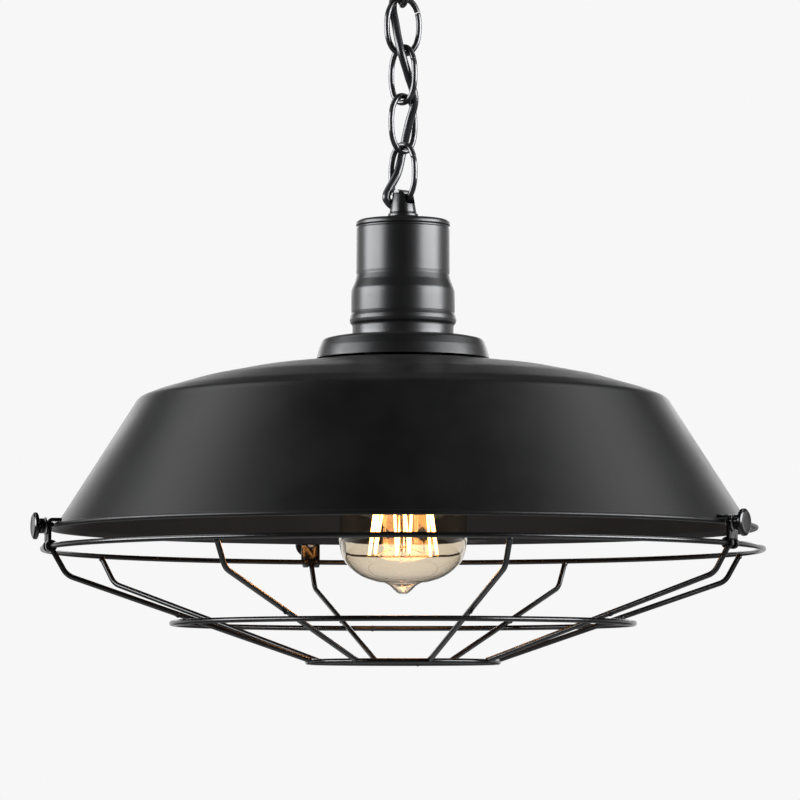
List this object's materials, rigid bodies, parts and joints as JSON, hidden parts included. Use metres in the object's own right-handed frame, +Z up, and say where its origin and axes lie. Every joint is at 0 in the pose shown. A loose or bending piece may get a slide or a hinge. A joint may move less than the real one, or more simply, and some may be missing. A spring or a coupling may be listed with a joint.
{
  "type": "pendant ceiling light",
  "caption": "Black barn pendant light: spun steel shade with a wire cage under a pear bulb, on a chain with the flex threaded through it, from a round canopy.",
  "frame": {"origin": "middle of the ceiling bracket's top face, on the ceiling plane", "axes": "+Z up towards the ceiling, -Y towards the viewer at the front, +X to the viewer's right"},
  "size_m": [0.3609, 0.3609, 0.3929],
  "materials": {
    "black_satin": "satin black powder coat",
    "black_wire": "satin black painted wire",
    "chain_black": "glossy black plated steel",
    "black_flex": "smooth black sheath",
    "zinc": "zinc plated",
    "brass": "bright",
    "phenolic": "moulded black phenolic",
    "ceramic": "unglazed white",
    "amber_glass": "clear amber tint",
    "clear_glass": "clear",
    "filament": "glowing carbon strand"
  },
  "bodies": {
    "ceiling": {"ceiling_bracket": "zinc", "bracket_nipple": "zinc", "bracket_nut": "zinc", "canopy": "black_satin", "canopy_loop": "black_satin", "terminal_block": "phenolic", "power_cord": "black_flex"},
    "link_1": {"chain_link_1": "chain_black"},
    "link_2": {"chain_link_2": "chain_black"},
    "link_3": {"chain_link_3": "chain_black"},
    "link_4": {"chain_link_4": "chain_black"},
    "link_5": {"chain_link_5": "chain_black"},
    "lamp": {"hang_loop": "black_satin", "hang_nipple": "zinc", "cup_nut": "zinc", "socket_cup": "black_satin", "collar": "black_satin", "shade": "black_satin", "shade_ring": "phenolic", "holder_cap": "phenolic", "holder_body": "phenolic", "terminal_insert": "ceramic", "screw_shell": "brass", "centre_contact": "brass"},
    "bulb_travel": {"bulb_tip_contact": "brass"},
    "bulb": {"bulb_glass": "amber_glass", "bulb_cap": "brass", "bulb_insulator": "phenolic", "bulb_stem": "clear_glass", "filament": "filament"},
    "cage": {"cage_top_ring": "black_wire", "cage_middle_ring": "black_wire", "cage_bottom_ring": "black_wire", "cage_spoke_1": "black_wire", "cage_spoke_2": "black_wire", "cage_spoke_3": "black_wire", "cage_spoke_4": "black_wire", "cage_spoke_5": "black_wire", "cage_spoke_6": "black_wire", "cage_spoke_7": "black_wire", "cage_spoke_8": "black_wire", "rim_bracket_1": "black_wire", "rim_bracket_2": "black_wire", "rim_bracket_3": "black_wire", "screw_washer_1": "zinc", "screw_washer_2": "zinc", "screw_washer_3": "zinc"},
    "stud_1": {"screw_stud_1": "zinc"},
    "stud_2": {"screw_stud_2": "zinc"},
    "stud_3": {"screw_stud_3": "zinc"},
    "knob_1": {"thumb_knob_1": "black_wire"},
    "knob_2": {"thumb_knob_2": "black_wire"},
    "knob_3": {"thumb_knob_3": "black_wire"}
  },
  "joints": [
    {"name": "link_1_swing", "type": "hinge", "parent": "ceiling", "child": "link_1", "pos_m": [0, 0, -0.03855], "axis": [0.9659, 0.2588, 0], "range_deg": [-25, 25], "deforming": ["power_cord"]},
    {"name": "link_2_swing", "type": "hinge", "parent": "link_1", "child": "link_2", "pos_m": [0, 0, -0.06295], "axis": [-0.2588, 0.9659, 0], "range_deg": [-25, 25]},
    {"name": "link_3_swing", "type": "hinge", "parent": "link_2", "child": "link_3", "pos_m": [0, 0, -0.08755], "axis": [0.9659, 0.2588, 0], "range_deg": [-25, 25]},
    {"name": "link_4_swing", "type": "hinge", "parent": "link_3", "child": "link_4", "pos_m": [0, 0, -0.11215], "axis": [0.7071, -0.7071, 0], "range_deg": [-25, 25]},
    {"name": "link_5_swing", "type": "hinge", "parent": "link_4", "child": "link_5", "pos_m": [0, 0, -0.13675], "axis": [0.7071, 0.7071, 0], "range_deg": [-25, 25]},
    {"name": "lamp_swing", "type": "hinge", "parent": "link_5", "child": "lamp", "pos_m": [0, 0, -0.16135], "axis": [0.7071, -0.7071, 0], "range_deg": [-20, 20]},
    {"name": "bulb_slide", "type": "slide", "parent": "lamp", "child": "bulb_travel", "axis": [0, 0, -1], "range_m": [0, 0.0182]},
    {"name": "bulb_turn", "type": "hinge", "parent": "bulb_travel", "child": "bulb", "pos_m": [0, 0, -0.327], "axis": [0, 0, -1], "range_deg": [0, 1800]},
    {"name": "cage_turn", "type": "hinge", "parent": "lamp", "child": "cage", "pos_m": [0, 0, -0.327], "axis": [0, 0, 1], "continuous": true},
    {"name": "stud_1_travel", "type": "slide", "parent": "cage", "child": "stud_1", "axis": [-0.9613, -0.2756, 0], "range_m": [0, 0.0021]},
    {"name": "knob_1_turn", "type": "hinge", "parent": "stud_1", "child": "knob_1", "pos_m": [-0.17303, -0.04961, -0.3263], "axis": [-0.9613, -0.2756, 0], "range_deg": [0, 1081]},
    {"name": "stud_2_travel", "type": "slide", "parent": "cage", "child": "stud_2", "axis": [0.8746, -0.4848, 0], "range_m": [0, 0.0021]},
    {"name": "knob_2_turn", "type": "hinge", "parent": "stud_2", "child": "knob_2", "pos_m": [0.15743, -0.08727, -0.3263], "axis": [0.8746, -0.4848, 0], "range_deg": [0, 1081]},
    {"name": "stud_3_travel", "type": "slide", "parent": "cage", "child": "stud_3", "axis": [-0.2756, 0.9613, 0], "range_m": [0, 0.0021]},
    {"name": "knob_3_turn", "type": "hinge", "parent": "stud_3", "child": "knob_3", "pos_m": [-0.04961, 0.17303, -0.3263], "axis": [-0.2756, 0.9613, 0], "range_deg": [0, 1081]}
  ],
  "couplings": [
    {"joint": "bulb_slide", "follows": "bulb_turn", "m_per_rad": 0.00057757},
    {"joint": "knob_1_turn", "follows": "stud_1_travel", "rad_per_m": 8976},
    {"joint": "knob_2_turn", "follows": "stud_2_travel", "rad_per_m": 8976},
    {"joint": "knob_3_turn", "follows": "stud_3_travel", "rad_per_m": 8976}
  ]
}
